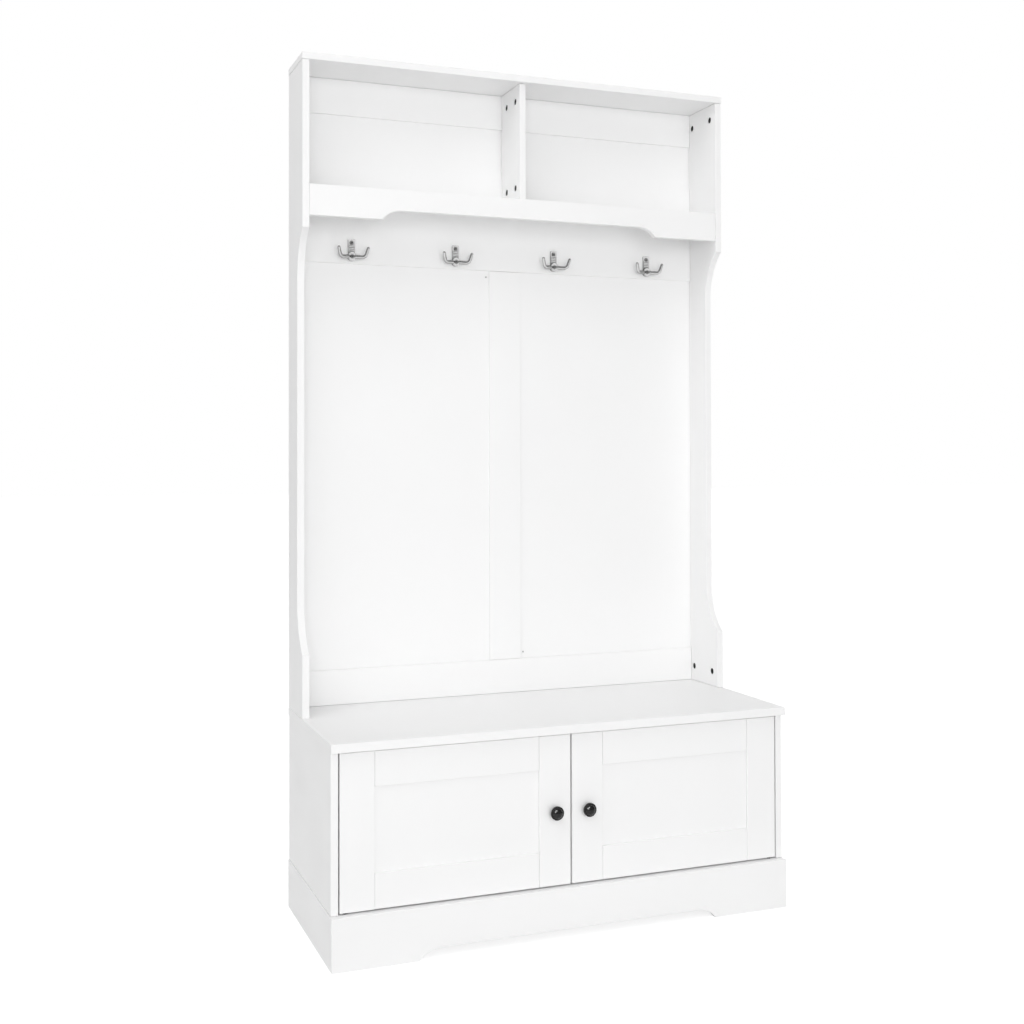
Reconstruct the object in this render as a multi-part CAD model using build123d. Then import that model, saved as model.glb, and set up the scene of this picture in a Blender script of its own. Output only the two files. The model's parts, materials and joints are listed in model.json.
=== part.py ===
from build123d import *
from math import sqrt
import os

# A white hall tree: a two-door bench cabinet on a plinth, with a tall panelled back,
# two cubbies under the top board and a row of double coat hooks.
# Millimetres, +Z up, the doors face -Y, the origin is on the floor under the middle.

# Main sizes
bench_width = 1000.0
bench_depth = 400.0
seat_height = 430.0
overall_height = 1820.0
board = 15.0
bench_thickness = 18.0

# Plinth and cabinet
plinth_height = 103.0
side_step = 2.0
bench_overhang = 13.0
back_sheet = 3.0
back_rebate = 8.0
partition_clearance = 2.0
shelf_setback = 30.0
shelf_play = 1.0
shelf_pin_radius = 2.5
shelf_pin_web = 2.0
shelf_pin_reach = 8.0
shelf_pin_inset = 45.0

# Scalloped edge shared by the valance and the plinth
scallop_half_span = 325.0
scallop_rise = 21.0
scallop_radius = 50.0

# Frames with a thin panel in a groove, used for the doors and for the back
panel_sheet = 5.0
groove_depth = 6.0
panel_play = 1.0

# Doors
door_side_gap = 2.5
door_centre_gap = 3.0
door_top_gap = 3.0
door_bottom_gap = 3.0
door_frame_width = 69.0
pivot_inset = 12.0
pivot_radius = 4.0
pivot_grip = 20.0
pivot_reach = 8.0
pivot_clearance = 0.05
pivot_end_clearance = 0.3
bush_radius = 6.0
bush_floor = 2.0

# Knobs
knob_radius = 14.0
knob_length = 22.0
knob_base_radius = 8.0
knob_base_height = 2.0
knob_neck_radius = 5.5
knob_neck_start = 4.0
knob_flare_radius = 7.5
knob_rim_step = 2.2
knob_rim_start = 10.5
knob_rim_width = 3.0
knob_drop = 3.0
knob_screw_radius = 2.0
knob_screw_grip = 10.0
screw_clearance = 0.25
screw_head_height = 2.4
screw_head_bevel = 0.8
screw_head_ratio = 2.0
screw_cross_length = 3.6
screw_cross_width = 0.9
screw_cross_depth = 1.3

# Magnetic catches
catch_width = 38.0
catch_depth = 13.0
catch_height = 13.0
catch_inset = 18.0
strike_thickness = 1.2
strike_margin = 2.0
catch_clearance = 0.3

# Upright panels
upright_inset = 1.0
upright_depth = 140.0
upright_waist = 89.0
upright_curve = 130.0
foot_height = 132.0
head_height = 352.0
top_lip = 2.0

# Cubbies and panelled back
valance_height = 66.0
valance_drop = 260.0
valance_setback = 1.0
valance_lip = 4.0
divider_setback = 11.0
divider_play = 0.5
top_rail_height = 78.5
hook_rail_top = 183.0
hook_rail_height = 223.0
bottom_rail_height = 77.0
back_stile_width = 77.0

# Coat hooks
hook_count = 4
hook_lift = 6.0
hook_plate_width = 15.5
hook_plate_height = 48.0
hook_plate = 3.0
hook_plate_corner = 2.0
hook_boss_radius = 9.5
hook_boss = 9.0
hook_screw_radius = 1.8
hook_screw_web = 3.0
hook_screw_drop = 8.0
hook_rib_count = 5
hook_rib_pitch = 3.6
hook_rib_height = 1.8
hook_rib_rise = 0.9
hook_rib_margin = 1.0
hook_root_radius = 4.7
hook_root_offset = 6.0
hook_root_gap = 0.3
hook_tip_radius = 3.3
hook_spread = 33.0
hook_reach = 21.0
hook_rise = 17.5
hook_dip = 2.0
hook_side_lean = 5.0
hook_front_lean = 5.0
hook_bend = 9.0

# Cam fixings
cam_radius = 7.0
cam_web = 2.5
cam_sink = 1.5
cam_slot_length = 10.5
cam_slot_width = 2.2
cam_slot_depth = 2.0
cam_distance = 34.5
cam_edge = 27.5
divider_cam_inset = 31.5
cabinet_cam_inset = 55.0
bolt_radius = 3.0
bolt_web = 4.0
bolt_clearance = 0.2
rail_cam_spread = 70.0

# Panel pins
pin_head_radius = 2.0
pin_head = 1.0
pin_shank_radius = 0.8
pin_side_margin = 6.3
pin_end_margin = 14.0

# Places worked out from the sizes above
cabinet_depth = bench_depth - bench_overhang
cabinet_half = bench_width / 2 - side_step
opening_half = cabinet_half - board
back_half = opening_half + back_rebate
overall_depth = max(cabinet_depth + knob_length, cabinet_depth + board, bench_depth)
rear = overall_depth / 2
bench_under = seat_height - bench_thickness
shelf_level = (plinth_height + bench_under - board) / 2
shelf_pin_grip = (board - shelf_pin_web) / 2
upright_half = bench_width / 2 - upright_inset
bay_half = upright_half - board
top_under = overall_height - board
top_depth = upright_depth + top_lip
groove_near = (board - panel_sheet) / 2
groove_far = groove_near + panel_sheet
tongue = groove_depth - panel_play

door_back = cabinet_depth - board
door_outer = opening_half - door_side_gap
door_inner = door_centre_gap / 2
door_low = plinth_height + door_bottom_gap
door_high = bench_under - door_top_gap
pivot_x = door_outer - pivot_inset
pivot_depth = cabinet_depth - board / 2

valance_top = top_under - valance_drop
valance_low = valance_top - valance_height
shelf_top = valance_top - valance_lip
shelf_under = shelf_top - board
valance_front = upright_depth - valance_setback
valance_back = valance_front - board
divider_front = upright_depth - divider_setback
top_rail_low = top_under - top_rail_height
hook_rail_high = top_under - hook_rail_top
hook_rail_low = hook_rail_high - hook_rail_height
bottom_rail_high = seat_height + bottom_rail_height
back_stile_half = back_stile_width / 2
hook_low = hook_rail_low + hook_lift
hook_high = hook_low + hook_plate_height
hook_screw_low = hook_low + hook_boss_radius
hook_screw_high = hook_high - hook_screw_drop
hook_screw_grip = board - hook_screw_web
cam_thickness = board - cam_sink - cam_web
bolt_grip = board - bolt_web

SIDES = {"left": -1, "right": 1}
nodes = {}


def y(depth):
    """The y of a plane that lies this far in front of the back."""
    return rear - depth


def block(x0, x1, depth0, depth1, z0, z1):
    """A board between two x values, two distances from the back and two heights."""
    centre = Pos((x0 + x1) / 2, y((depth0 + depth1) / 2), (z0 + z1) / 2)
    return centre * Box(abs(x1 - x0), abs(depth1 - depth0), abs(z1 - z0))


def rod(radius, start, end):
    """A round bar from one point to another."""
    path = Vector(end) - Vector(start)
    return extrude(Plane(origin=start, z_dir=path) * Circle(radius), path.length)


def scalloped_board(half_width, depth0, depth1, z0, z1):
    """A board whose lower edge rises to a long flat arch with rounded ends."""
    run = sqrt(scallop_radius**2 - (scallop_radius - scallop_rise) ** 2)
    crown = z0 + scallop_rise
    flat = scallop_half_span - run
    corners = [(-scallop_half_span, z0), (-flat, crown), (flat, crown), (scallop_half_span, z0)]
    outline = [
        RadiusArc(corners[0], corners[1], scallop_radius),
        Line(corners[1], corners[2]),
        RadiusArc(corners[2], corners[3], scallop_radius),
        Line(corners[3], corners[0]),
    ]
    arch = make_face([Plane.XZ.offset(-y(depth1)) * edge for edge in outline])
    arch_cut = extrude(arch, depth1 - depth0, dir=(0, 1, 0))
    return block(-half_width, half_width, depth0, depth1, z0, z1) - arch_cut


def cam_fixing(origin, bolt_direction, face_normal):
    """A cam, its bolt and the holes for both, for a cam let into a board's face."""
    place = Plane(origin=origin, x_dir=bolt_direction, z_dir=face_normal)
    on_top = (Align.CENTER, Align.CENTER, Align.MAX)
    centre_z = -board / 2
    free_radius = bolt_radius + bolt_clearance
    pocket = Cylinder(cam_radius, cam_sink + cam_thickness, align=on_top)
    body = Pos(0, 0, -cam_sink) * Cylinder(cam_radius, cam_thickness, align=on_top)
    slot = Pos(0, 0, -cam_sink) * Box(cam_slot_length, cam_slot_width, cam_slot_depth, align=on_top)
    claw = Pos(-free_radius, 0, centre_z) * Box(
        free_radius + cam_radius,
        2 * free_radius,
        2 * free_radius,
        align=(Align.MIN, Align.CENTER, Align.CENTER),
    )
    head = (-bolt_radius, 0, centre_z)
    free_bore = rod(free_radius, head, (cam_distance, 0, centre_z))
    bolt = rod(bolt_radius, head, (cam_distance + bolt_grip, 0, centre_z))
    return {
        "cam": place * (body - slot - claw),
        "bolt": place * bolt,
        "holes": [place * pocket, place * free_bore, place * bolt],
    }


def drilled(solid, fixings):
    """A board with the holes of its cam fixings."""
    holes = [hole for fixing in fixings for hole in fixing["holes"]]
    return solid - holes


def upright_fixings(side):
    """Cams in an upright's inner face, with bolts into the bench top and the top board."""
    fixings = []
    for depth in (cam_edge, upright_depth - cam_edge):
        for level, up in ((seat_height + cam_distance, -1), (top_under - cam_distance, 1)):
            origin = (side * bay_half, y(depth), level)
            fixings.append(cam_fixing(origin, (0, 0, up), (-side, 0, 0)))
    return fixings


def divider_fixings():
    """Cams in the divider's left face, with bolts into the cubby shelf and the top board."""
    fixings = []
    for depth in (board + divider_cam_inset, divider_front - cam_edge):
        for level, up in ((shelf_top + cam_distance, -1), (top_under - cam_distance, 1)):
            fixings.append(cam_fixing((-board / 2, y(depth), level), (0, 0, up), (-1, 0, 0)))
    return fixings


def cabinet_side_fixings(side):
    """Cams in a cabinet side's inner face, with bolts into the plinth and the bench top."""
    fixings = []
    for depth in (cabinet_cam_inset, door_back - cam_edge):
        for level, up in ((plinth_height + cam_distance, -1), (bench_under - cam_distance, 1)):
            origin = (side * opening_half, y(depth), level)
            fixings.append(cam_fixing(origin, (0, 0, up), (-side, 0, 0)))
    return fixings


def rail_fixings(side, levels):
    """Cams in the back of a rail, with bolts into an upright."""
    x = side * (bay_half - cam_distance)
    return [cam_fixing((x, y(0), level), (side, 0, 0), (0, 1, 0)) for level in levels]


def shelf_fixings(side):
    """Cams under the cubby shelf, with bolts into an upright."""
    x = side * (bay_half - cam_distance)
    depths = (board + cam_edge, valance_back - cam_edge)
    return [cam_fixing((x, y(depth), shelf_under), (side, 0, 0), (0, 0, -1)) for depth in depths]


hook_rail_middle = (hook_rail_low + hook_rail_high) / 2
hook_rail_cams = [hook_rail_middle - rail_cam_spread, hook_rail_middle + rail_cam_spread]
top_rail_cams = [(top_rail_low + top_under) / 2]
bottom_rail_cams = [(seat_height + bottom_rail_high) / 2]

fixings = {"divider": divider_fixings()}
for name, side in SIDES.items():
    fixings["upright_" + name] = upright_fixings(side)
    fixings["cabinet_side_" + name] = cabinet_side_fixings(side)
    fixings["hook_rail_" + name] = rail_fixings(side, hook_rail_cams)
    fixings["top_rail_" + name] = rail_fixings(side, top_rail_cams)
    fixings["bottom_rail_" + name] = rail_fixings(side, bottom_rail_cams)
    fixings["cubby_shelf_" + name] = shelf_fixings(side)


def both(name):
    """The fixings of one kind on the left and on the right."""
    return fixings[name + "_left"] + fixings[name + "_right"]


# Plinth: a front board with a scalloped foot, two sides, a back and the cabinet floor let in flush
floor_under = plinth_height - board
plinth_inner = bench_width / 2 - board
nodes["plinth_front"] = scalloped_board(
    bench_width / 2, cabinet_depth, cabinet_depth + board, 0, plinth_height
)
nodes["plinth_back"] = block(-plinth_inner, plinth_inner, 0, board, 0, floor_under)


def pivot_bush(side, face, up):
    """A blind bush let into a board, open at the board's face."""
    mouth = (side * pivot_x, y(pivot_depth), face)
    depth = pivot_reach + pivot_end_clearance
    bore_end = (side * pivot_x, y(pivot_depth), face + up * depth)
    outer_end = (side * pivot_x, y(pivot_depth), face + up * (depth + bush_floor))
    body = rod(bush_radius, mouth, outer_end)
    return body, body - rod(pivot_radius + pivot_clearance, mouth, bore_end)


bush_seats = {"floor": [], "bench": []}
bushes = []
for side in SIDES.values():
    for where, face, up in (("floor", plinth_height, -1), ("bench", bench_under, 1)):
        seat, bush = pivot_bush(side, face, up)
        bush_seats[where].append(seat)
        bushes.append(bush)
nodes["pivot_bushes"] = Compound(children=[bush.solid() for bush in bushes])

floor_board = block(-plinth_inner, plinth_inner, 0, cabinet_depth, floor_under, plinth_height)
nodes["cabinet_floor"] = floor_board - bush_seats["floor"]

# Cabinet: sides, partition, thin back, shelves on pins
pin_depths = (back_sheet + shelf_pin_inset, door_back - shelf_setback - shelf_pin_inset)
pin_z = shelf_level - shelf_pin_radius
shelf_pins = []
pin_holes = {"left": [], "right": [], "partition": []}
for name, side in SIDES.items():
    for depth in pin_depths:
        for host, face, into in ((name, opening_half, 1), ("partition", board / 2, -1)):
            inner = (side * (face + into * shelf_pin_grip), y(depth), pin_z)
            outer = (side * (face - into * shelf_pin_reach), y(depth), pin_z)
            pin = rod(shelf_pin_radius, inner, outer)
            shelf_pins.append(pin)
            pin_holes[host].append(pin)
nodes["shelf_pins"] = Compound(children=[pin.solid() for pin in shelf_pins])

for name, side in SIDES.items():
    nodes["plinth_side_" + name] = drilled(
        block(side * plinth_inner, side * bench_width / 2, 0, cabinet_depth, 0, plinth_height),
        fixings["cabinet_side_" + name],
    )
    rebate = block(side * opening_half, side * back_half, 0, back_sheet, plinth_height, bench_under)
    side_board = block(
        side * opening_half, side * cabinet_half, 0, cabinet_depth, plinth_height, bench_under
    )
    nodes["cabinet_side_" + name] = drilled(
        side_board - rebate - pin_holes[name], fixings["cabinet_side_" + name]
    )
    nodes["cabinet_shelf_" + name] = block(
        side * (board / 2 + shelf_play),
        side * (opening_half - shelf_play),
        back_sheet + shelf_play,
        door_back - shelf_setback,
        shelf_level,
        shelf_level + board,
    )

partition_front = door_back - partition_clearance
partition = block(-board / 2, board / 2, back_sheet, partition_front, plinth_height, bench_under)
nodes["cabinet_partition"] = partition - pin_holes["partition"]
nodes["cabinet_back"] = block(-back_half, back_half, 0, back_sheet, plinth_height, bench_under)

bench_board = block(-bench_width / 2, bench_width / 2, 0, bench_depth, bench_under, seat_height)
nodes["bench_top"] = drilled(bench_board - bush_seats["bench"], both("cabinet_side") + both("upright"))

# Magnetic catches under the bench top, each facing a strike plate on a door
catch_front = door_back - strike_thickness - catch_clearance
catches = []
for side in SIDES.values():
    catches.append(
        block(
            side * catch_inset,
            side * (catch_inset + catch_width),
            catch_front - catch_depth,
            catch_front,
            bench_under - catch_height,
            bench_under,
        )
    )
nodes["magnetic_catches"] = Compound(children=[catch.solid() for catch in catches])


def pan_screw(head_face, direction, shank_radius, grip):
    """A screw with a bevelled cross-slotted head that bears on head_face and a shank behind it."""
    head_radius = screw_head_ratio * shank_radius
    place = Plane(origin=head_face, z_dir=direction)
    rising = (Align.CENTER, Align.CENTER, Align.MIN)
    head = Pos(0, 0, -screw_head_height) * Cylinder(head_radius, screw_head_height, align=rising)
    head = chamfer(head.edges().group_by(Axis.Z)[0], screw_head_bevel)
    shank = Cylinder(shank_radius, grip, align=rising)
    cross = Box(screw_cross_length, screw_cross_width, screw_cross_depth, align=rising)
    cross += Box(screw_cross_width, screw_cross_length, screw_cross_depth, align=rising)
    return place * (head + shank - Pos(0, 0, -screw_head_height) * cross)


def knob(centre):
    """A turned knob with a blind screw hole: a foot, a waisted neck, a flat rim and a dome."""
    rim_end = knob_rim_start + knob_rim_width
    step_radius = knob_radius - knob_rim_step
    dome_height = knob_length - rim_end
    dome_radius = (step_radius**2 + dome_height**2) / (2 * dome_height)
    base_edge = (knob_base_radius, knob_base_height)
    neck = (knob_neck_radius, knob_neck_start)
    outline = [
        Polyline((knob_screw_radius, 0), (knob_base_radius, 0), base_edge, neck),
        RadiusArc(neck, (knob_radius, knob_rim_start), knob_flare_radius),
        Polyline((knob_radius, knob_rim_start), (knob_radius, rim_end), (step_radius, rim_end)),
        RadiusArc((step_radius, rim_end), (0, knob_length), -dome_radius),
        Polyline((0, knob_length), (0, knob_screw_grip), (knob_screw_radius, knob_screw_grip)),
        Line((knob_screw_radius, knob_screw_grip), (knob_screw_radius, 0)),
    ]
    turned = revolve(make_face(outline), Axis.Y)
    return Pos(centre) * Rot(180, 0, 0) * turned


def door(name, side):
    """A framed door with a panel in a groove, its knob, pivot pins and strike plate."""
    stile_in = door_inner + door_frame_width
    stile_out = door_outer - door_frame_width
    rail_low = door_low + door_frame_width
    rail_high = door_high - door_frame_width
    near = door_back + groove_near
    far = door_back + groove_far
    prefix = "door_" + name + "_"
    knob_x = side * (door_inner + door_frame_width / 2)
    knob_z = (door_low + door_high) / 2 - knob_drop
    knob_seat = (knob_x, y(cabinet_depth), knob_z)
    screw_seat = (knob_x, y(door_back), knob_z)

    screw = pan_screw(screw_seat, (0, -1, 0), knob_screw_radius, board + knob_screw_grip)
    screw_bore = rod(knob_screw_radius + screw_clearance, screw_seat, knob_seat)

    pins = []
    for face, up, gap in ((door_low, -1, door_bottom_gap), (door_high, 1, door_top_gap)):
        inner = (side * pivot_x, y(pivot_depth), face - up * pivot_grip)
        outer = (side * pivot_x, y(pivot_depth), face + up * (gap + pivot_reach))
        pins.append(rod(pivot_radius, inner, outer))

    tenon_in = side * (stile_in - groove_depth)
    tenon_out = side * (stile_out + groove_depth)
    inner_groove = block(tenon_in, side * stile_in, near, far, door_low, door_high)
    outer_groove = block(side * stile_out, tenon_out, near, far, door_low, door_high)
    nodes[prefix + "inner_stile"] = (
        block(side * door_inner, side * stile_in, door_back, cabinet_depth, door_low, door_high)
        - inner_groove
        - screw_bore
    )
    nodes[prefix + "outer_stile"] = (
        block(side * stile_out, side * door_outer, door_back, cabinet_depth, door_low, door_high)
        - outer_groove
        - pins
    )
    for rail, low, high, edge, into in (
        ("bottom_rail", door_low, rail_low, rail_low, -1),
        ("top_rail", rail_high, door_high, rail_high, 1),
    ):
        body = block(side * stile_in, side * stile_out, door_back, cabinet_depth, low, high)
        tenons = block(tenon_in, tenon_out, near, far, low, high)
        groove = block(tenon_in, tenon_out, near, far, edge, edge + into * groove_depth)
        nodes[prefix + rail] = body + tenons - groove
    nodes[prefix + "panel"] = block(
        side * (stile_in - tongue),
        side * (stile_out + tongue),
        near,
        far,
        rail_low - tongue,
        rail_high + tongue,
    )
    nodes[prefix + "knob"] = knob(knob_seat)
    nodes[prefix + "knob_screw"] = screw
    nodes[prefix + "pivot_pins"] = Compound(children=[pin.solid() for pin in pins])
    nodes[prefix + "strike"] = block(
        side * (catch_inset + strike_margin),
        side * (catch_inset + catch_width - strike_margin),
        door_back - strike_thickness,
        door_back,
        bench_under - catch_height + strike_margin,
        door_high - strike_margin,
    )


for name, side in SIDES.items():
    door(name, side)


def upright(side):
    """A tall side panel, waisted between its foot and its head by two hollow curves."""
    fall = upright_depth - upright_waist
    rise = sqrt(upright_curve**2 - (upright_curve - fall) ** 2)
    foot_top = seat_height + foot_height
    head_low = top_under - head_height
    front = y(upright_depth)
    waist = y(upright_waist)
    outline = [
        Polyline((waist, foot_top + rise), (waist, head_low - rise)),
        RadiusArc((waist, head_low - rise), (front, head_low), -upright_curve),
        Polyline((front, head_low), (front, top_under), (rear, top_under), (rear, seat_height)),
        Polyline((rear, seat_height), (front, seat_height), (front, foot_top)),
        RadiusArc((front, foot_top), (waist, foot_top + rise), -upright_curve),
    ]
    inner = min(side * bay_half, side * upright_half)
    panel = extrude(make_face([Plane.YZ.offset(inner) * edge for edge in outline]), board, dir=(1, 0, 0))
    groove_x = side * (bay_half + groove_depth)
    for low, high in ((bottom_rail_high, hook_rail_low), (hook_rail_high, top_rail_low)):
        panel -= block(
            side * bay_half, groove_x, groove_near, groove_far, low - groove_depth, high + groove_depth
        )
    return panel


for name, side in SIDES.items():
    rails = ["hook_rail_", "top_rail_", "bottom_rail_", "cubby_shelf_", "upright_"]
    upright_holes = [fixing for rail in rails for fixing in fixings[rail + name]]
    nodes["upright_" + name] = drilled(upright(side), upright_holes)

nodes["top_board"] = drilled(
    block(-bench_width / 2, bench_width / 2, 0, top_depth, top_under, overall_height),
    both("upright") + fixings["divider"],
)
nodes["cubby_shelf"] = drilled(
    block(-bay_half, bay_half, board, valance_back, shelf_under, shelf_top),
    both("cubby_shelf") + fixings["divider"],
)
nodes["valance"] = scalloped_board(bay_half, valance_back, valance_front, valance_low, valance_top)
divider_back = block(
    -board / 2,
    board / 2,
    groove_far + divider_play,
    board,
    hook_rail_high + divider_play,
    top_rail_low - divider_play,
)
divider_body = block(-board / 2, board / 2, board, divider_front, shelf_top, top_under)
nodes["cubby_divider"] = drilled(divider_body + divider_back - nodes["valance"], fixings["divider"])


def hook_places():
    """The x of each coat hook, evenly spaced across the bay."""
    spacing = 2 * bay_half / hook_count
    return [spacing * (number - (hook_count - 1) / 2) for number in range(hook_count)]


def coat_hook(x):
    """A ribbed plate with a round boss and two tapered arms that spread forward and turn up."""
    face = board + hook_plate
    boss_face = board + hook_boss
    half = hook_plate_width / 2
    plate = block(x - half, x + half, board, face, hook_screw_low, hook_high)
    plate = fillet(plate.edges().filter_by(Axis.Y).group_by(Axis.Z)[-1], hook_plate_corner)
    boss = rod(hook_boss_radius, (x, y(board), hook_screw_low), (x, y(boss_face), hook_screw_low))
    head_low = hook_screw_high - screw_head_ratio * hook_screw_radius
    boss_high = hook_screw_low + hook_boss_radius
    body = plate + boss
    for step in range(hook_rib_count):
        rib_z = (head_low + boss_high) / 2 + hook_rib_pitch * (step - (hook_rib_count - 1) / 2)
        body += block(
            x - half + hook_rib_margin,
            x + half - hook_rib_margin,
            board,
            face + hook_rib_rise,
            rib_z - hook_rib_height / 2,
            rib_z + hook_rib_height / 2,
        )
    root_depth = board + hook_root_radius + hook_root_gap
    for way in (-1, 1):
        root = Vector(x + way * hook_root_offset, y(root_depth), hook_screw_low)
        elbow_x = x + way * (hook_spread - hook_side_lean)
        elbow = Vector(elbow_x, y(board + hook_reach - hook_front_lean), hook_screw_low - hook_dip)
        tip = Vector(x + way * hook_spread, y(board + hook_reach), hook_screw_low + hook_rise)
        path = FilletPolyline(root, elbow, tip, radius=hook_bend)
        across = (elbow - root).cross(tip - elbow)
        start = Plane(origin=root, x_dir=across, z_dir=path % 0) * Circle(hook_root_radius)
        end = Plane(origin=tip, x_dir=across, z_dir=path % 1) * Circle(hook_tip_radius)
        body += sweep([start, end], path=path, multisection=True)
        body += Pos(tip) * Sphere(hook_tip_radius)
    for level, depth in ((hook_screw_high, face), (hook_screw_low, boss_face)):
        body -= rod(hook_screw_radius + screw_clearance, (x, y(board), level), (x, y(depth), level))
    return body


hook_screws = []
for number, x in enumerate(hook_places(), start=1):
    nodes[f"hook_{number}"] = coat_hook(x)
    for level, thickness in ((hook_screw_high, hook_plate), (hook_screw_low, hook_boss)):
        seat = (x, y(board + thickness), level)
        hook_screws.append(pan_screw(seat, (0, 1, 0), hook_screw_radius, thickness + hook_screw_grip))
nodes["hook_screws"] = Compound(children=[screw.solid() for screw in hook_screws])


def grooved_rail(low, high, grooved_edges):
    """A back rail between the uprights, with a panel groove along the named edges."""
    rail = block(-bay_half, bay_half, 0, board, low, high)
    for edge in grooved_edges:
        end = edge + (groove_depth if edge == low else -groove_depth)
        rail -= block(-bay_half, bay_half, groove_near, groove_far, edge, end)
    return rail


nodes["back_top_rail"] = drilled(grooved_rail(top_rail_low, top_under, [top_rail_low]), both("top_rail"))
nodes["back_bottom_rail"] = drilled(
    grooved_rail(seat_height, bottom_rail_high, [bottom_rail_high]), both("bottom_rail")
)
nodes["hook_rail"] = drilled(
    grooved_rail(hook_rail_low, hook_rail_high, [hook_rail_low, hook_rail_high]) - hook_screws,
    both("hook_rail"),
)

stile = block(-back_stile_half, back_stile_half, 0, board, bottom_rail_high, hook_rail_low)
stile += block(
    -back_stile_half,
    back_stile_half,
    groove_near,
    groove_far,
    bottom_rail_high - groove_depth,
    hook_rail_low + groove_depth,
)
for side in SIDES.values():
    stile -= block(
        side * (back_stile_half - groove_depth),
        side * back_stile_half,
        groove_near,
        groove_far,
        bottom_rail_high - groove_depth,
        hook_rail_low + groove_depth,
    )
nodes["back_stile"] = stile

panel_pins = []
pin_marks = {"left": hook_rail_low - pin_end_margin, "right": bottom_rail_high + pin_end_margin}
for name, side in SIDES.items():
    pin_x = side * (back_stile_half + pin_side_margin)
    face = (pin_x, y(groove_far), pin_marks[name])
    head = rod(pin_head_radius, face, (pin_x, y(groove_far + pin_head), pin_marks[name]))
    shank = rod(pin_shank_radius, face, (pin_x, y(groove_near), pin_marks[name]))
    panel_pins.append(head + shank)
    nodes["back_panel_" + name] = (
        block(
            side * (back_stile_half - tongue),
            side * (bay_half + tongue),
            groove_near,
            groove_far,
            bottom_rail_high - tongue,
            hook_rail_low + tongue,
        )
        - shank
    )
nodes["panel_pins"] = Compound(children=[pin.solid() for pin in panel_pins])
nodes["back_panel_cubby"] = block(
    -bay_half - tongue,
    bay_half + tongue,
    groove_near,
    groove_far,
    hook_rail_high - tongue,
    top_rail_low + tongue,
)

every_fixing = [fixing for group in fixings.values() for fixing in group]
nodes["cam_locks"] = Compound(children=[fixing["cam"].solid() for fixing in every_fixing])
nodes["cam_bolts"] = Compound(children=[fixing["bolt"].solid() for fixing in every_fixing])

os.makedirs("parts", exist_ok=True)
for name, shape in nodes.items():
    export_step(shape, f"parts/{name}.step")
print(len(nodes), "nodes written")
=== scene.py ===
import json
from math import cos, radians, sin

import bmesh
import bpy
from mathutils import Matrix, Vector


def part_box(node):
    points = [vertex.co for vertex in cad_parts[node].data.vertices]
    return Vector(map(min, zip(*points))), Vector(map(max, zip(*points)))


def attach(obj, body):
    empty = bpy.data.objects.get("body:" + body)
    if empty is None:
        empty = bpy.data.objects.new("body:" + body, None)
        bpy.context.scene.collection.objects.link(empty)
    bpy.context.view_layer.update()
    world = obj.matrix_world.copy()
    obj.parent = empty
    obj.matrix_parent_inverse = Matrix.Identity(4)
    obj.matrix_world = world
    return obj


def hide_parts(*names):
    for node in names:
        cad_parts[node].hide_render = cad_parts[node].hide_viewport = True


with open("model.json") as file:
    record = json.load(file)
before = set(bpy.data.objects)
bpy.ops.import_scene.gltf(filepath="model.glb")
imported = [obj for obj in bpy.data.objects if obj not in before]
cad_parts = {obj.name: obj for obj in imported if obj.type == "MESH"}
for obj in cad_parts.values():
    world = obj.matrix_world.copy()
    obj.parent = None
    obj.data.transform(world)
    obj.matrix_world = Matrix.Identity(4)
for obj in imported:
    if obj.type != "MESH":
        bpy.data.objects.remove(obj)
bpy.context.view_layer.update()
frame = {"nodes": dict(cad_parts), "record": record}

# Camera, in metres and radians, and in pixels of the 1024 square picture
PICTURE = 1024
FOCAL_PIXELS = 1312.6
CENTRE_PIXELS = (513.6, 434.1)
CAMERA_PLACE = Vector((-1.0796, -2.6358, 0.9764))
CAMERA_YAW = 0.3714
CAMERA_PITCH = 0.0158
CAMERA_ROLL = -0.0023
SENSOR_MM = 36.0

# Eased board edges, in metres
EASE = 0.0010
EASE_STEPS = 2
EASE_PROFILE = 0.5
JOINT_GAP = 0.0004
HOLE_RIM = 0.08
WELD = 1e-6
SHARP_ANGLE = radians(60)
SMOOTH_ANGLE = radians(20)
FLAT_ANGLE = radians(0.5)

# The stretch of a noise's values that carries its pattern
NOISE_LOW = 0.3
NOISE_HIGH = 0.7

# White laminate: tone, gloss, and an embossed grain drawn out along the board
BOARD_TONES = (0.935, 0.955)
BOARD_ROUGHNESS = (0.36, 0.48)
BOARD_TONE_SCALE = 3.0
BOARD_GLOSS_SCALE = 60.0
BOARD_GRAIN_SCALE = 900.0
BOARD_RELIEF = 0.00006
BOARD_RELIEF_STRENGTH = 0.35
GRAIN_STRETCH = 0.12

# Metal: its gloss and relief are finer than its tone by these factors
METAL_GLOSS = 3.0
METAL_RELIEF = 6.0
METAL_RELIEF_STRENGTH = 0.3

# Painted shade on metal, its tone darkened in its hollows by ambient occlusion: reach in metres, openness
# that counts as a hollow, share of the tone left
HOLLOW_REACH = 0.0060
HOLLOW_OPENNESS = 0.50
HOLLOW_SHADE_TONE = 0.10

# Plastic and paint: as for metal, with a fine relief and a low sheen
PLASTIC_GLOSS = 3.0
PLASTIC_RELIEF = 4.0
PLASTIC_RELIEF_DEPTH = 0.00001
PLASTIC_RELIEF_STRENGTH = 0.2
PLASTIC_SHEEN = 0.25

# Detail levels of the noises
TONE_DETAIL = 4.0
GLOSS_DETAIL = 3.0
GRAIN_DETAIL = 4.0
RELIEF_DETAIL = 2.0

# Floor: tone, roughness, glow to the camera and to reflections, half its width in metres
FLOOR_TONE = 0.70
FLOOR_ROUGHNESS = 0.9
FLOOR_GLOW = 0.76
FLOOR_REACH = 30.0

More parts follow.
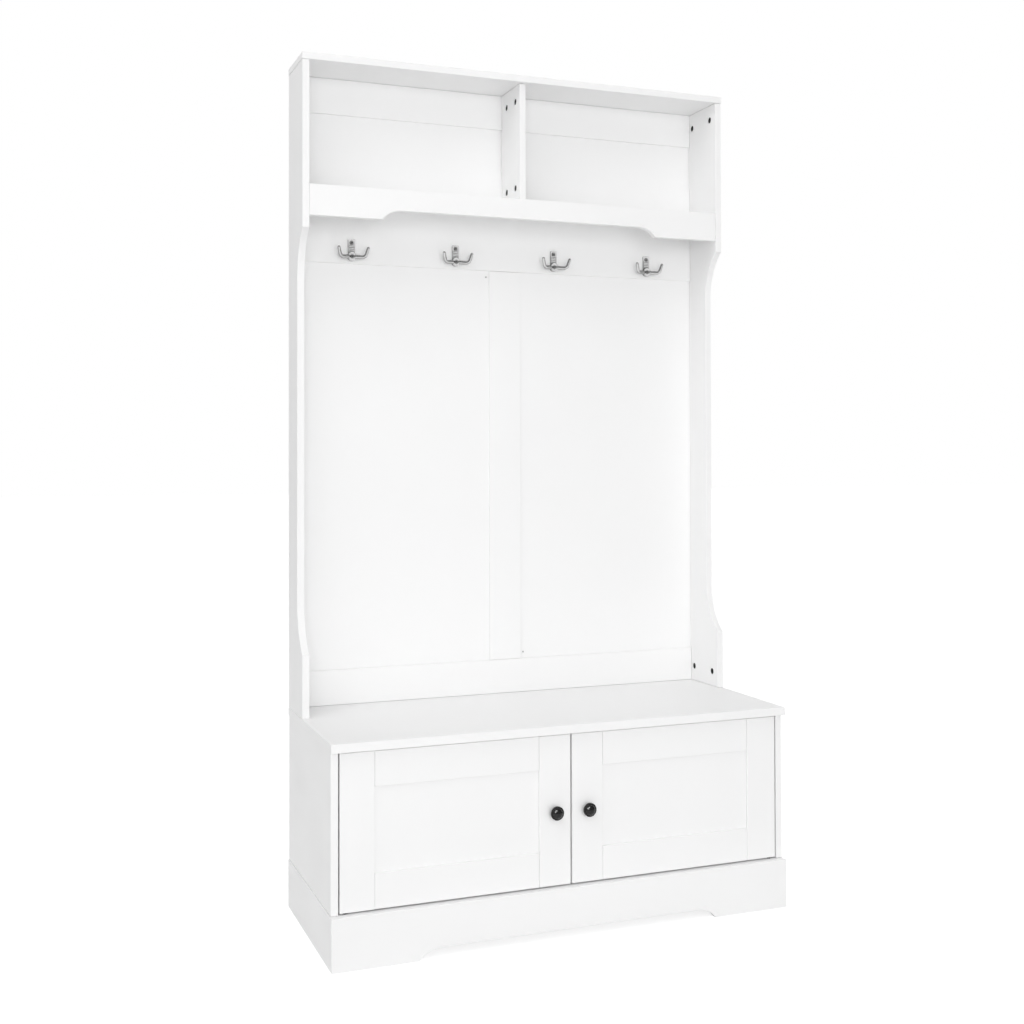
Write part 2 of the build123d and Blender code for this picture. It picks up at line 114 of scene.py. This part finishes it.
# World: a soft light that is stronger from the front left, and a dim room for metal to mirror
SOFT_LEVEL = 0.48
SOFT_SLOPE = 0.15
SOFT_SIDE = Vector((-0.30, -0.95, 0.0)).normalized()
ROOM_LEVEL = 0.10
ROOM_EDGE = -0.25
BACKDROP_EDGE = 0.10
BACKDROP_LEVEL = 1.0

# Lamps: place, point that each faces, width and height in metres, watts
ROOM_LAMPS = {
    "key": ((-0.9, -4.4, 1.45), (0.0, 0.0, 1.2), 3.0, 2.0, 58.0),
    "top": ((-2.5, -1.6, 4.0), (0.0, 0.0, 0.6), 3.0, 3.0, 52.0),
    "fill": ((0.3, -3.4, 0.2), (0.0, 0.0, 1.7), 1.6, 1.6, 13.0),
    "right": ((4.2, 0.4, 1.6), (0.0, 0.0, 0.9), 3.0, 2.0, 25.0),
    "back": ((0.6, 4.2, 1.6), (0.0, 0.0, 0.9), 3.0, 2.0, 42.0),
}
MIRRORED_LAMPS = {
    "strip": ((1.75, -4.4, 2.15), (0.0, 0.2, 1.4), 2.8, 0.7, 9.0),
}
KNOB_LAMPS = {
    "high_glint": ((-1.5, -2.4, 4.0), (0.0, -0.2, 0.3), 1.5, 1.5, 260.0),
    "low_glint": ((-3.2, -2.4, 2.4), (0.0, -0.2, 0.3), 1.5, 1.5, 260.0),
}


def new_material(name):
    """A new material with a plain surface shader: material, node tree and shader."""
    material = bpy.data.materials.new(name)
    material.use_nodes = True
    return material, material.node_tree, material.node_tree.nodes["Principled BSDF"]


def noise(tree, scale, detail, stretch=(1.0, 1.0, 1.0)):
    """The value of a noise texture in the object's own space."""
    place = tree.nodes.new("ShaderNodeTexCoord")
    mapping = tree.nodes.new("ShaderNodeMapping")
    mapping.inputs["Scale"].default_value = stretch
    texture = tree.nodes.new("ShaderNodeTexNoise")
    texture.inputs["Scale"].default_value = scale
    texture.inputs["Detail"].default_value = detail
    tree.links.new(place.outputs["Object"], mapping.inputs["Vector"])
    tree.links.new(mapping.outputs["Vector"], texture.inputs["Vector"])
    return texture.outputs["Fac"]


def spread(tree, value, low, high, start=NOISE_LOW, end=NOISE_HIGH):
    """A value, such as a noise's, spread between two numbers."""
    span = tree.nodes.new("ShaderNodeMapRange")
    span.inputs["From Min"].default_value = start
    span.inputs["From Max"].default_value = end
    span.inputs["To Min"].default_value = low
    span.inputs["To Max"].default_value = high
    tree.links.new(value, span.inputs["Value"])
    return span.outputs["Result"]


def largest(tree, values):
    """The largest of some values."""
    total = values[0]
    for value in values[1:]:
        larger = tree.nodes.new("ShaderNodeMath")
        larger.operation = "MAXIMUM"
        tree.links.new(total, larger.inputs[0])
        tree.links.new(value, larger.inputs[1])
        total = larger.outputs[0]
    return total


def grey(value):
    """A neutral colour."""
    return (value, value, value, 1.0)


def tint(tree, value, tones):
    """A noise value turned into a neutral colour between a dark and a light tone."""
    ramp = tree.nodes.new("ShaderNodeValToRGB")
    dark, light = ramp.color_ramp.elements
    dark.position = NOISE_LOW
    dark.color = grey(tones[0])
    light.position = NOISE_HIGH
    light.color = grey(tones[1])
    tree.links.new(value, ramp.inputs["Fac"])
    return ramp.outputs["Color"]


def bump(tree, shader, height, depth, strength):
    """A small relief from a height value."""
    relief = tree.nodes.new("ShaderNodeBump")
    relief.inputs["Distance"].default_value = depth
    relief.inputs["Strength"].default_value = strength
    tree.links.new(height, relief.inputs["Height"])
    tree.links.new(relief.outputs["Normal"], shader.inputs["Normal"])


def laminate(name, stretch):
    """Satin white laminate with a faint embossed grain."""
    material, tree, shader = new_material(name)
    tone = tint(tree, noise(tree, BOARD_TONE_SCALE, TONE_DETAIL), BOARD_TONES)
    tree.links.new(tone, shader.inputs["Base Color"])
    gloss = spread(tree, noise(tree, BOARD_GLOSS_SCALE, GLOSS_DETAIL, stretch), *BOARD_ROUGHNESS)
    tree.links.new(gloss, shader.inputs["Roughness"])
    grain = noise(tree, BOARD_GRAIN_SCALE, GRAIN_DETAIL, stretch)
    bump(tree, shader, grain, BOARD_RELIEF, BOARD_RELIEF_STRENGTH)
    return material


def metal(name, tones, roughness, depth, scale):
    """Bare or plated metal, a little uneven in tone, gloss and surface, with shade painted into its tone in
    its hollows.
    """
    material, tree, shader = new_material(name)
    shader.inputs["Metallic"].default_value = 1.0
    # Painted shade: ambient occlusion darkens the base colour in hollows and crevices
    hollow = tree.nodes.new("ShaderNodeAmbientOcclusion")
    hollow.inputs["Distance"].default_value = HOLLOW_REACH
    painted_hollow_shade = tree.nodes.new("ShaderNodeVectorMath")
    painted_hollow_shade.operation = "SCALE"
    tree.links.new(tint(tree, noise(tree, scale, TONE_DETAIL), tones), painted_hollow_shade.inputs[0])
    unshaded_share = spread(tree, hollow.outputs["AO"], HOLLOW_SHADE_TONE, 1.0, HOLLOW_OPENNESS, 1.0)
    tree.links.new(unshaded_share, painted_hollow_shade.inputs["Scale"])
    tree.links.new(painted_hollow_shade.outputs["Vector"], shader.inputs["Base Color"])
    gloss = spread(tree, noise(tree, scale * METAL_GLOSS, GLOSS_DETAIL), *roughness)
    tree.links.new(gloss, shader.inputs["Roughness"])
    uneven = noise(tree, scale * METAL_RELIEF, RELIEF_DETAIL)
    bump(tree, shader, uneven, depth, METAL_RELIEF_STRENGTH)
    return material


def plastic(name, tones, roughness, scale):
    """Moulded or painted non-metal with a fine texture."""
    material, tree, shader = new_material(name)
    tree.links.new(tint(tree, noise(tree, scale, TONE_DETAIL), tones), shader.inputs["Base Color"])
    gloss = spread(tree, noise(tree, scale * PLASTIC_GLOSS, GLOSS_DETAIL), *roughness)
    tree.links.new(gloss, shader.inputs["Roughness"])
    shader.inputs["Specular IOR Level"].default_value = PLASTIC_SHEEN
    uneven = noise(tree, scale * PLASTIC_RELIEF, RELIEF_DETAIL)
    bump(tree, shader, uneven, PLASTIC_RELIEF_DEPTH, PLASTIC_RELIEF_STRENGTH)
    return material


boards_along_x = laminate("laminate_along_x", (GRAIN_STRETCH, 1.0, 1.0))
boards_along_y = laminate("laminate_along_y", (1.0, GRAIN_STRETCH, 1.0))
boards_along_z = laminate("laminate_along_z", (1.0, 1.0, GRAIN_STRETCH))
FINISHES = {
    "hook_metal": metal("plated_hook", (0.42, 0.50), (0.10, 0.16), depth=0.00001, scale=90.0),
    # Screws: tone set dark, partly as painted shade for their countersunk holes and slots
    "bright_steel": metal("plated_screw", (0.20, 0.28), (0.22, 0.32), depth=0.00001, scale=300.0),
    "steel": metal("zinc_steel", (0.50, 0.62), (0.28, 0.40), depth=0.00003, scale=300.0),
    "dark_zinc": metal("dark_zinc", (0.05, 0.08), (0.45, 0.60), depth=0.00004, scale=300.0),
    "black_knob": plastic("black_satin", (0.003, 0.006), (0.18, 0.25), scale=250.0),
    "nylon": plastic("natural_nylon", (0.78, 0.84), (0.45, 0.55), scale=250.0),
    "catch_plastic": plastic("white_moulding", (0.74, 0.80), (0.40, 0.52), scale=250.0),
}


def finish(node):
    """The material of a node: boards take the grain of their longest side."""
    slot = slot_of[node]
    if slot in FINISHES:
        return FINISHES[slot]
    low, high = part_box(node)
    size = high - low
    if size.x >= max(size.y, size.z):
        return boards_along_x
    return boards_along_y if size.y >= size.z else boards_along_z


def paint(piece, material):
    """Gives a piece one material."""
    piece.data.materials.clear()
    piece.data.materials.append(material)


def put_in_scene(name, data):
    """A new object in the scene."""
    piece = bpy.data.objects.new(name, data)
    bpy.context.scene.collection.objects.link(piece)
    return piece


def eased_edges(mesh):
    """The outer edges of a board that get a small round: sharp, standing out, and not a small hole's rim."""
    sharp = [edge for edge in mesh.edges if edge.is_manifold and edge.is_convex]
    waiting = {edge for edge in sharp if edge.calc_face_angle() > SHARP_ANGLE}
    eased = set()
    for first in sharp:
        if first not in waiting:
            continue
        waiting.discard(first)
        chain = [first]
        for edge in chain:
            joined = [near for corner in edge.verts for near in corner.link_edges if near in waiting]
            waiting.difference_update(joined)
            chain.extend(dict.fromkeys(joined))
        if sum(edge.calc_length() for edge in chain) > HOLE_RIM:
            eased.update(chain)
    return [edge for edge in sharp if edge in eased]


def inward(corner):
    """The step that takes a corner of a board a hair inside its faces, which leaves a fine joint line."""
    step = Vector()
    for axis in range(3):
        sides = {round(face.normal[axis]) for face in corner.link_faces}
        step[axis] = -sum(sides) * JOINT_GAP / 2
    return step


def curved(face):
    """Whether a face is part of a round stretch, and so is shaded smooth."""
    angles = [edge.calc_face_angle() for edge in face.edges if edge.is_manifold]
    return any(FLAT_ANGLE < angle < SMOOTH_ANGLE for angle in angles)


def ease(node):
    """Stands a copy of a board, with its outer edges slightly rounded, in the board's place."""
    mesh = bmesh.new()
    mesh.from_mesh(frame["nodes"][node].data)
    bmesh.ops.remove_doubles(mesh, verts=mesh.verts, dist=WELD)
    bmesh.ops.dissolve_limit(mesh, angle_limit=FLAT_ANGLE, verts=mesh.verts, edges=mesh.edges)
    steps = [inward(corner) for corner in mesh.verts]
    for corner, step in zip(mesh.verts, steps):
        corner.co += step
    bmesh.ops.bevel(
        mesh,
        geom=eased_edges(mesh),
        offset=EASE,
        offset_type="OFFSET",
        segments=EASE_STEPS,
        profile=EASE_PROFILE,
        affect="EDGES",
        clamp_overlap=True,
    )
    mesh.normal_update()
    smooth = [curved(face) for face in mesh.faces]
    data = bpy.data.meshes.new(node + "_eased")
    mesh.to_mesh(data)
    mesh.free()
    data.set_sharp_from_angle(angle=SMOOTH_ANGLE)
    data.polygons.foreach_set("use_smooth", smooth)
    piece = put_in_scene(node + "_eased", data)
    paint(piece, finish(node))
    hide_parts(node)
    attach(piece, body_of[node])


def softbox(name, place, target, width, height, watts):
    """A rectangular area lamp that faces a point."""
    lamp = bpy.data.lights.new(name, "AREA")
    lamp.shape = "RECTANGLE"
    lamp.size = width
    lamp.size_y = height
    lamp.energy = watts
    light = put_in_scene(name, lamp)
    light.location = place
    light.rotation_euler = (Vector(target) - Vector(place)).to_track_quat("-Z", "Y").to_euler()
    return light


# Pieces: eased copies of the boards, and finishes on all the rest
record = frame["record"]
slot_of = {part["node"]: part["material_slot"] for part in record["subparts"]}
body_of = {node: body for body, nodes in record["behaviour"]["bodies"].items() for node in nodes}
for node, slot in slot_of.items():
    if slot == "white_board":
        ease(node)
    else:
        paint(frame["nodes"][node], finish(node))

# Floor: white to the camera and to reflections, with the object's shadow kept
floor_material, floor_tree, floor_shader = new_material("pale_floor")
floor_shader.inputs["Base Color"].default_value = grey(FLOOR_TONE)
floor_shader.inputs["Roughness"].default_value = FLOOR_ROUGHNESS
floor_shader.inputs["Specular IOR Level"].default_value = 0.0
floor_shader.inputs["Emission Color"].default_value = grey(1.0)
path = floor_tree.nodes.new("ShaderNodeLightPath")
seen_by = ("Is Camera Ray", "Is Glossy Ray", "Is Transmission Ray")
seen = largest(floor_tree, [path.outputs[ray] for ray in seen_by])
glow = spread(floor_tree, seen, 0.0, FLOOR_GLOW, 0.0, 1.0)
floor_tree.links.new(glow, floor_shader.inputs["Emission Strength"])
floor_data = bpy.data.meshes.new("floor")
corners = [(x * FLOOR_REACH, y * FLOOR_REACH, 0.0) for x, y in ((-1, -1), (1, -1), (1, 1), (-1, 1))]
floor_data.from_pydata(corners, [], [range(len(corners))])
floor = put_in_scene("floor", floor_data)
paint(floor, floor_material)

# World: white to the camera, backdrop and room to reflections, and a soft light to all else
world = bpy.data.worlds.new("studio")
world.use_nodes = True
bpy.context.scene.world = world
sky = world.node_tree
direction = sky.nodes.new("ShaderNodeTexCoord").outputs["Generated"]
facing = sky.nodes.new("ShaderNodeVectorMath")
facing.operation = "DOT_PRODUCT"
facing.inputs[1].default_value = SOFT_SIDE
sky.links.new(direction, facing.inputs[0])
soft = spread(sky, facing.outputs["Value"], SOFT_LEVEL - SOFT_SLOPE, SOFT_LEVEL + SOFT_SLOPE, -1.0, 1.0)
parts = sky.nodes.new("ShaderNodeSeparateXYZ")
sky.links.new(direction, parts.inputs["Vector"])
mirrored = spread(sky, parts.outputs["Y"], ROOM_LEVEL, BACKDROP_LEVEL, ROOM_EDGE, BACKDROP_EDGE)
rays = sky.nodes.new("ShaderNodeLightPath")
unseen = sky.nodes.new("ShaderNodeMapRange")
sky.links.new(rays.outputs["Is Glossy Ray"], unseen.inputs["Value"])
sky.links.new(soft, unseen.inputs["To Min"])
sky.links.new(mirrored, unseen.inputs["To Max"])
level = largest(
    sky,
    [rays.outputs["Is Camera Ray"], rays.outputs["Is Transmission Ray"], unseen.outputs["Result"]],
)
background = sky.nodes["Background"]
background.inputs["Color"].default_value = grey(1.0)
sky.links.new(level, background.inputs["Strength"])

# Lamps: soft ones that metal doesn't mirror, one that metal mirrors, and two for the black knobs alone
for name, values in ROOM_LAMPS.items():
    softbox(name, *values).visible_glossy = False
for name, values in MIRRORED_LAMPS.items():
    softbox(name, *values).visible_diffuse = False
knobs = bpy.data.collections.new("knobs")
for node, slot in slot_of.items():
    if slot == "black_knob":
        knobs.objects.link(frame["nodes"][node])
for name, values in KNOB_LAMPS.items():
    softbox(name, *values).light_linking.receiver_collection = knobs

# Camera
ahead = cos(CAMERA_PITCH)
forward = Vector((sin(CAMERA_YAW) * ahead, cos(CAMERA_YAW) * ahead, sin(CAMERA_PITCH)))
right = Vector((cos(CAMERA_YAW), -sin(CAMERA_YAW), 0.0))
up = right.cross(forward)
level_view = Matrix((right, up, -forward)).transposed().to_4x4()
lens = bpy.data.cameras.new("camera")
lens.sensor_width = SENSOR_MM
lens.lens = FOCAL_PIXELS * SENSOR_MM / PICTURE
lens.shift_x = (PICTURE / 2 - CENTRE_PIXELS[0]) / PICTURE
lens.shift_y = (CENTRE_PIXELS[1] - PICTURE / 2) / PICTURE
camera = put_in_scene("camera", lens)
rolled_view = level_view @ Matrix.Rotation(CAMERA_ROLL, 4, "Z")
camera.matrix_world = Matrix.Translation(CAMERA_PLACE) @ rolled_view
bpy.context.scene.camera = camera
bpy.context.scene.view_settings.view_transform = "Standard"
